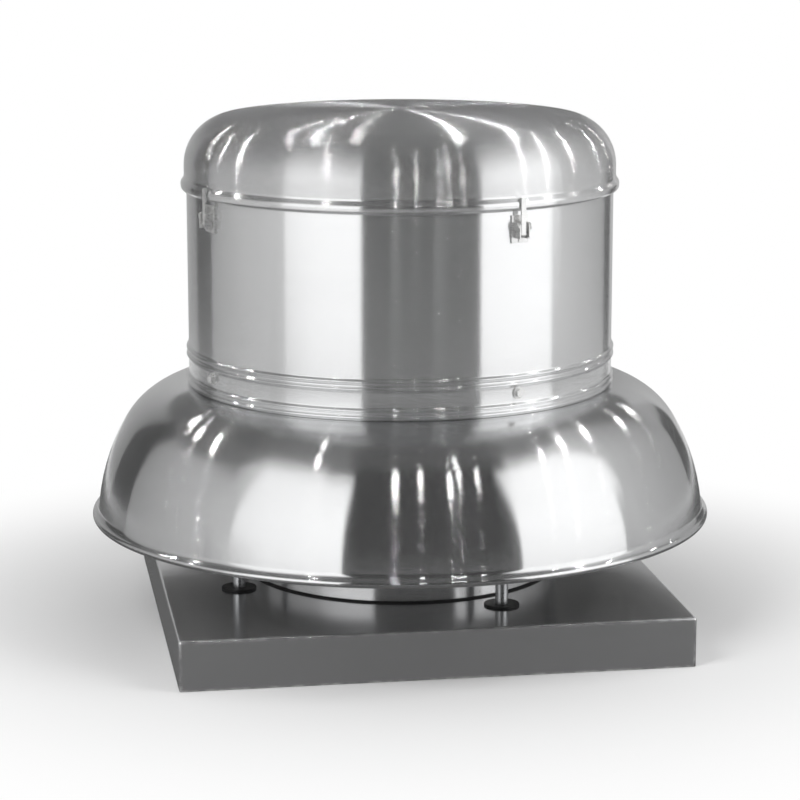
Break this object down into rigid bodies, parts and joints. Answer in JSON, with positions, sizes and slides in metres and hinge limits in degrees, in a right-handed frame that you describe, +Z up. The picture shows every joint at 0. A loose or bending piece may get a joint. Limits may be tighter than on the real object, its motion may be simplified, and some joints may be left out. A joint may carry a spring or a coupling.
{
  "type": "downblast roof exhaust fan",
  "caption": "Domed roof exhaust fan: a belt-driven wheel draws air up through a venturi and a flared windband turns it down over a square curb cap.",
  "frame": {"origin": "centre of the curb cap's lower rim, on the fan's axis", "axes": "+Z up along the wheel's axis, -Y towards the front, +X towards the motor"},
  "size_m": [0.7058, 0.7058, 0.5813],
  "materials": {
    "spun_aluminium": "bright spun aluminium, fine circular brushing",
    "cap_aluminium": "polished sheet, dark and glossy",
    "post_aluminium": "drawn rod, bright",
    "isolator_rubber": "moulded black rubber, satin",
    "zinc_steel": "zinc-plated steel",
    "stainless_steel": "stainless steel strip, bright",
    "galvanised_steel": "galvanised sheet and plate",
    "shaft_steel": "ground steel, lightly oiled",
    "bearing_iron": "painted iron casting",
    "sheave_iron": "cast iron, dark",
    "belt_rubber": "fabric-covered rubber",
    "motor_paint": "dark enamel",
    "box_steel": "grey painted steel",
    "switch_plastic": "moulded black plastic",
    "conduit_metal": "wound metal strip"
  },
  "bodies": {
    "housing": {"bearing_bolts": "zinc_steel", "chase_locknuts": "zinc_steel", "collar_screws": "stainless_steel", "conduit_fittings": "zinc_steel", "curb_cap": "cap_aluminium", "drive_belt": "belt_rubber", "drive_frame": "galvanised_steel", "frame_bolts": "zinc_steel", "inlet_venturi": "spun_aluminium", "latch_base_1": "stainless_steel", "latch_base_2": "stainless_steel", "latch_base_3": "stainless_steel", "latch_base_4": "stainless_steel", "latch_rivets": "spun_aluminium", "lower_bearing": "bearing_iron", "motor_band": "spun_aluminium", "motor_bolts": "zinc_steel", "motor_conduit": "conduit_metal", "motor_foot": "motor_paint", "motor_lower_bell": "motor_paint", "motor_pan": "spun_aluminium", "motor_plate": "galvanised_steel", "motor_shell": "motor_paint", "motor_upper_bell": "motor_paint", "post_isolators": "isolator_rubber", "post_nuts": "zinc_steel", "support_post_1": "post_aluminium", "support_post_2": "post_aluminium", "support_post_3": "post_aluminium", "support_post_4": "post_aluminium", "switch_box": "box_steel", "switch_cover": "box_steel", "tension_nuts": "zinc_steel", "tension_studs": "zinc_steel", "terminal_box": "motor_paint", "upper_bearing": "bearing_iron", "venturi_seal": "isolator_rubber", "windband": "spun_aluminium", "wiring_chase": "galvanised_steel"},
    "cap": {"top_cap": "spun_aluminium"},
    "rotor": {"wheel_shroud": "spun_aluminium", "wheel_blades": "spun_aluminium", "wheel_back_plate": "spun_aluminium", "wheel_hub": "shaft_steel", "hub_bolts": "zinc_steel", "fan_shaft": "shaft_steel", "bearing_inner_rings": "shaft_steel", "driven_sheave": "sheave_iron", "set_screws": "zinc_steel"},
    "motor_rotor": {"motor_shaft": "shaft_steel", "motor_sheave": "sheave_iron"},
    "toggle": {"switch_toggle": "switch_plastic"},
    "lever_1": {"latch_lever_1": "stainless_steel"},
    "hook_1": {"latch_hook_1": "stainless_steel"},
    "lever_2": {"latch_lever_2": "stainless_steel"},
    "hook_2": {"latch_hook_2": "stainless_steel"},
    "lever_3": {"latch_lever_3": "stainless_steel"},
    "hook_3": {"latch_hook_3": "stainless_steel"},
    "lever_4": {"latch_lever_4": "stainless_steel"},
    "hook_4": {"latch_hook_4": "stainless_steel"}
  },
  "joints": [
    {"name": "wheel_spin", "type": "hinge", "parent": "housing", "child": "rotor", "pos_m": [0, 0, 0.375], "axis": [0, 0, 1], "continuous": true},
    {"name": "motor_spin", "type": "hinge", "parent": "housing", "child": "motor_rotor", "pos_m": [0.1323, 0, 0.375], "axis": [0, 0, 1], "continuous": true},
    {"name": "cap_lift", "type": "slide", "parent": "housing", "child": "cap", "axis": [0, 0, 1], "range_m": [0, 0.06]},
    {"name": "disconnect_toggle", "type": "hinge", "parent": "housing", "child": "toggle", "pos_m": [0, 0.191, 0.325], "axis": [1, 0, 0], "range_deg": [0, 44]},
    {"name": "lever_1_pivot", "type": "hinge", "parent": "housing", "child": "lever_1", "pos_m": [0.0947, -0.22861, 0.47702], "axis": [-0.9239, -0.3827, 0], "range_deg": [0, 95.5]},
    {"name": "hook_1_pivot", "type": "hinge", "parent": "lever_1", "child": "hook_1", "pos_m": [0.09439, -0.22787, 0.46802], "axis": [0.9239, 0.3827, 0], "range_deg": [0, 165.5]},
    {"name": "lever_2_pivot", "type": "hinge", "parent": "housing", "child": "lever_2", "pos_m": [0.22861, 0.0947, 0.47702], "axis": [0.3827, -0.9239, 0], "range_deg": [0, 95.5]},
    {"name": "hook_2_pivot", "type": "hinge", "parent": "lever_2", "child": "hook_2", "pos_m": [0.22787, 0.09439, 0.46802], "axis": [-0.3827, 0.9239, 0], "range_deg": [0, 165.5]},
    {"name": "lever_3_pivot", "type": "hinge", "parent": "housing", "child": "lever_3", "pos_m": [-0.0947, 0.22861, 0.47702], "axis": [0.9239, 0.3827, 0], "range_deg": [0, 95.5]},
    {"name": "hook_3_pivot", "type": "hinge", "parent": "lever_3", "child": "hook_3", "pos_m": [-0.09439, 0.22787, 0.46802], "axis": [-0.9239, -0.3827, 0], "range_deg": [0, 165.5]},
    {"name": "lever_4_pivot", "type": "hinge", "parent": "housing", "child": "lever_4", "pos_m": [-0.22861, -0.0947, 0.47702], "axis": [-0.3827, 0.9239, 0], "range_deg": [0, 95.5]},
    {"name": "hook_4_pivot", "type": "hinge", "parent": "lever_4", "child": "hook_4", "pos_m": [-0.22787, -0.09439, 0.46802], "axis": [0.3827, -0.9239, 0], "range_deg": [0, 165.5]}
  ],
  "couplings": [
    {"joint": "motor_spin", "follows": "wheel_spin", "ratio": 1.5},
    {"joint": "lever_1_pivot", "follows": "cap_lift", "rad_per_m": 27.634},
    {"joint": "hook_1_pivot", "follows": "cap_lift", "rad_per_m": 47.997},
    {"joint": "lever_2_pivot", "follows": "cap_lift", "rad_per_m": 27.634},
    {"joint": "hook_2_pivot", "follows": "cap_lift", "rad_per_m": 47.997},
    {"joint": "lever_3_pivot", "follows": "cap_lift", "rad_per_m": 27.634},
    {"joint": "hook_3_pivot", "follows": "cap_lift", "rad_per_m": 47.997},
    {"joint": "lever_4_pivot", "follows": "cap_lift", "rad_per_m": 27.634},
    {"joint": "hook_4_pivot", "follows": "cap_lift", "rad_per_m": 47.997}
  ]
}
